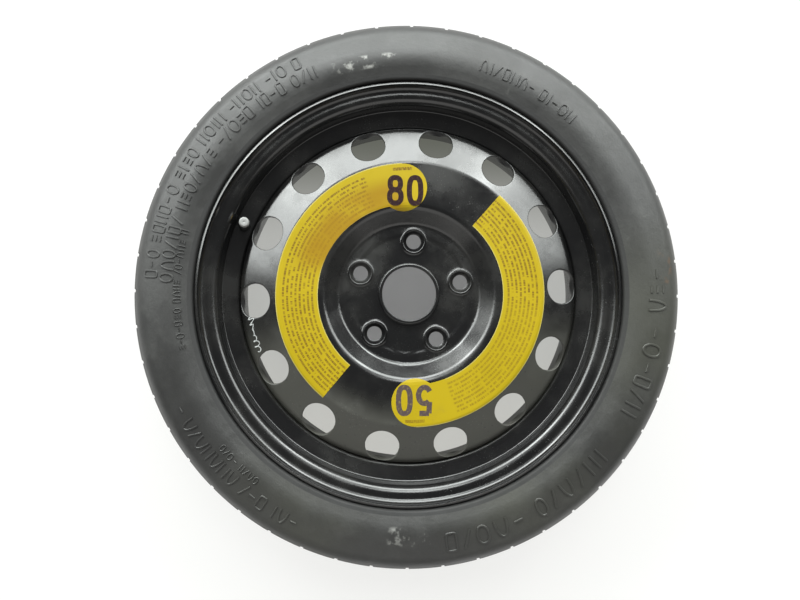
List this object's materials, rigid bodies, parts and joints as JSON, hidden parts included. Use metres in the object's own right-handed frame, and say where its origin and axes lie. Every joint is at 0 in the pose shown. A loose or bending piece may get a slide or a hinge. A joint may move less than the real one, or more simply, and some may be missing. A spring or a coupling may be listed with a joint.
{
  "type": "spare wheel",
  "caption": "Space-saver spare wheel: narrow temporary tyre on a black pressed-steel wheel with round vents, yellow speed labels and a snap-in valve.",
  "frame": {"origin": "centre of the wheel on the rim's mid plane", "axes": "+Z along the axle line towards the outer face, +Y towards the valve"},
  "size_m": [0.5812, 0.5812, 0.1248],
  "materials": {
    "tyre_rubber": "matt moulded rubber with dust",
    "black_paint": "gloss black paint on steel",
    "yellow_film": "printed adhesive film",
    "valve_rubber": "satin rubber",
    "brass": "turned",
    "soft_seal": "matt",
    "spring_steel": "bright wire",
    "cap_plastic": "light grey moulded plastic"
  },
  "bodies": {
    "wheel": {"tyre": "tyre_rubber", "rim": "black_paint", "wheel_disc": "black_paint", "label_upper": "yellow_film", "label_lower": "yellow_film", "valve_body": "valve_rubber", "valve_stem": "brass", "core_plug": "brass", "core_barrel": "brass", "barrel_seal": "soft_seal", "core_spring": "spring_steel"},
    "core": {"core_pin": "brass", "core_cup": "brass", "cup_seal": "soft_seal"},
    "cap_ring": {"cap_seal": "soft_seal"},
    "cap": {"valve_cap": "cap_plastic"}
  },
  "joints": [
    {"name": "core_press", "type": "slide", "parent": "wheel", "child": "core", "axis": [0, 0.1736, -0.9848], "range_m": [0, 0.0015], "stiffness_N_per_m": 500, "springref_m": -0.002, "deforming": ["core_spring"]},
    {"name": "cap_lift", "type": "slide", "parent": "wheel", "child": "cap_ring", "axis": [0, -0.1736, 0.9848], "range_m": [0, 0.00556]},
    {"name": "cap_turn", "type": "hinge", "parent": "cap_ring", "child": "cap", "pos_m": [0, 0.18562, 0.05316], "axis": [0, -0.1736, 0.9848], "range_deg": [0, 2520]}
  ],
  "couplings": [
    {"joint": "cap_turn", "follows": "cap_lift", "rad_per_m": 7913.3}
  ]
}
